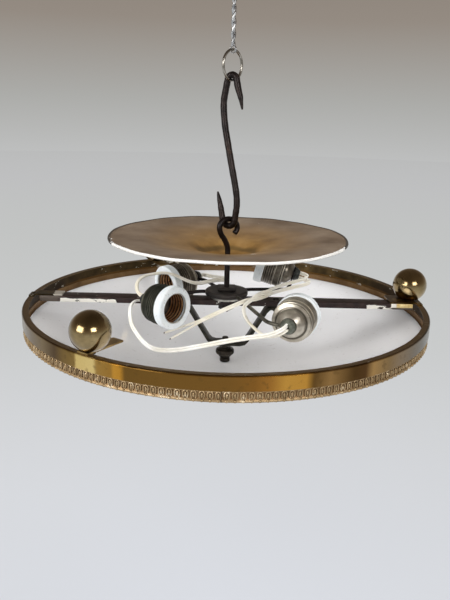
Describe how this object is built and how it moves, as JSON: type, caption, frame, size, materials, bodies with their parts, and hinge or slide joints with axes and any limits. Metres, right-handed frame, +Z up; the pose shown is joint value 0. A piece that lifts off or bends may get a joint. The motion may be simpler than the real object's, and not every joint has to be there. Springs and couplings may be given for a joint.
{
  "type": "ceiling lamp",
  "caption": "Hanging ceiling lamp: brass ring with a shallow opal glass bowl, screw lampholders on bent arms, a reflector dish and a hooked stem on an S-hook and wire.",
  "frame": {"origin": "centre of the eye at the top of the hanging wire", "axes": "+Z up along the stem, +X along the iron cross bar towards the ball over its end, -Y towards the side the picture was taken from"},
  "size_m": [0.3853, 0.38, 0.3609],
  "materials": {
    "galvanised_wire": "satin",
    "bright_steel": "polished",
    "wrought_iron": "satin",
    "stem_iron": "satin",
    "hub_iron": "satin",
    "washer_steel": "satin",
    "bar_iron": "satin",
    "polished_brass": "polished",
    "gallery_brass": "satin",
    "dark_brass": "matte",
    "opal_glass": "polished",
    "aged_brass": "polished",
    "reflector_enamel": "satin",
    "holder_metal": "satin",
    "porcelain": "gloss",
    "copper_thread": "satin",
    "black_bush": "gloss",
    "cream_flex": "matte"
  },
  "bodies": {
    "hanger": {"wire_hanger": "galvanised_wire"},
    "link": {"hanging_ring": "bright_steel"},
    "hook": {"s_hook": "wrought_iron"},
    "lamp": {"stem": "stem_iron", "hub_nut": "hub_iron", "hub_disc": "hub_iron", "hub_washer": "washer_steel", "cross_bar": "bar_iron", "bar_nut": "stem_iron", "bar_clip_left": "dark_brass", "bar_clip_right": "gallery_brass", "ring_band": "polished_brass", "gallery_band": "gallery_brass", "glass_ledge": "dark_brass", "glass_bowl": "opal_glass", "ball_right": "aged_brass", "ball_left": "aged_brass", "ball_back": "aged_brass", "ball_tab_left": "dark_brass", "ball_tab_back": "dark_brass", "ball_screws": "stem_iron", "ring_rivets": "gallery_brass", "glass_stay": "bar_iron", "stay_screws": "stem_iron", "reflector_collar": "stem_iron", "screw_shells": "copper_thread", "centre_contacts": "gallery_brass", "holder_bushes": "black_bush", "supply_lead": "cream_flex", "link_c_d": "cream_flex", "link_d_a": "cream_flex", "link_a_b": "cream_flex", "arm_front_left": "stem_iron", "cap_front_left": "holder_metal", "shell_front_left": "holder_metal", "shade_ring_front_left": "porcelain", "core_front_left": "porcelain", "arm_back_left": "stem_iron", "cap_back_left": "holder_metal", "shell_back_left": "holder_metal", "shade_ring_back_left": "porcelain", "core_back_left": "porcelain", "arm_back_right": "stem_iron", "cap_back_right": "holder_metal", "shell_back_right": "holder_metal", "shade_ring_back_right": "porcelain", "core_back_right": "porcelain", "arm_front_right": "stem_iron", "cap_front_right": "holder_metal", "shell_front_right": "holder_metal", "shade_ring_front_right": "porcelain", "core_front_right": "porcelain"},
    "ferrule": {"reflector_ferrule": "dark_brass"},
    "dish": {"reflector": "reflector_enamel"},
    "pad": {"thumb_pad": "gallery_brass"},
    "knob": {"thumb_screw": "gallery_brass"}
  },
  "joints": [
    {"name": "link_swing", "type": "hinge", "parent": "hanger", "child": "link", "pos_m": [0, 0, -0.06065], "axis": [0.766, -0.6428, 0], "range_deg": [-30, 30]},
    {"name": "hook_swing", "type": "hinge", "parent": "link", "child": "hook", "pos_m": [0, 0, -0.0835], "axis": [0.6428, 0.766, 0], "range_deg": [-30, 30]},
    {"name": "lamp_swing", "type": "hinge", "parent": "hook", "child": "lamp", "pos_m": [0, 0, -0.2131], "axis": [0.8192, -0.5736, 0], "range_deg": [-20, 20]},
    {"name": "reflector_lift", "type": "slide", "parent": "lamp", "child": "ferrule", "axis": [0, 0, 1], "range_m": [0, 0.005]},
    {"name": "reflector_spin", "type": "hinge", "parent": "ferrule", "child": "dish", "pos_m": [0, 0, -0.2455], "axis": [0, 0, 1], "continuous": true},
    {"name": "pad_travel", "type": "slide", "parent": "lamp", "child": "pad", "axis": [0, 0, 1], "range_m": [0, 0.0035]},
    {"name": "knob_turn", "type": "hinge", "parent": "pad", "child": "knob", "pos_m": [0, 0, -0.3385], "axis": [0, 0, 1], "range_deg": [0, 1260.5]}
  ],
  "couplings": [
    {"joint": "knob_turn", "follows": "pad_travel", "rad_per_m": 6283.2}
  ]
}
